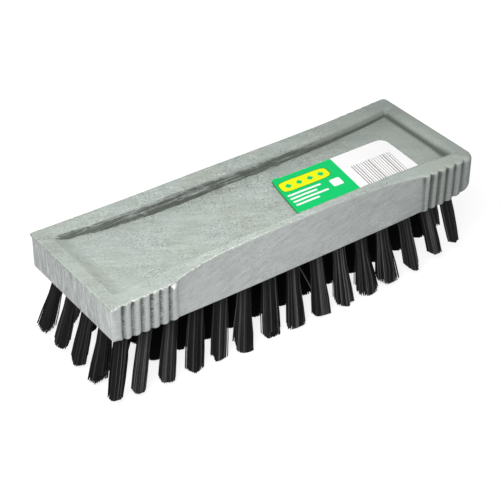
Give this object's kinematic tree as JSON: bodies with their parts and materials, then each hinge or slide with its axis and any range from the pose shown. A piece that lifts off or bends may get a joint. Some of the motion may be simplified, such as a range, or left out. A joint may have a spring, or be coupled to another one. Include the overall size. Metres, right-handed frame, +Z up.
{
  "type": "shoe brush",
  "caption": "Shoe brush: a moulded rectangular block with a dished top recess and ribbed finger grips, over short stiff bristle tufts that fan outwards.",
  "frame": {"origin": "centre of the bounding box's bottom: the brush stands on the cut ends of its bristles, which lie on z = 0", "axes": "+X along the length of the block, +Y from the deep finger waist at the front to the back, +Z up out of the recess"},
  "size_m": [0.1824, 0.06, 0.05],
  "materials": {
    "moulded_grey": "foamed moulding, flow streaks and fine pits",
    "black_bristle": "drawn filament",
    "label_paper": "printed, semi-gloss"
  },
  "bodies": {
    "root": {"block": "moulded_grey", "label": "label_paper", "tuft_column_01": "black_bristle", "tuft_column_02": "black_bristle", "tuft_column_03": "black_bristle", "tuft_column_04": "black_bristle", "tuft_column_05": "black_bristle", "tuft_column_06": "black_bristle", "tuft_column_07": "black_bristle", "tuft_column_08": "black_bristle", "tuft_column_09": "black_bristle", "tuft_column_10": "black_bristle", "tuft_column_11": "black_bristle", "tuft_column_12": "black_bristle", "tuft_column_13": "black_bristle", "tuft_column_14": "black_bristle", "tuft_column_15": "black_bristle"}
  },
  "joints": []
}
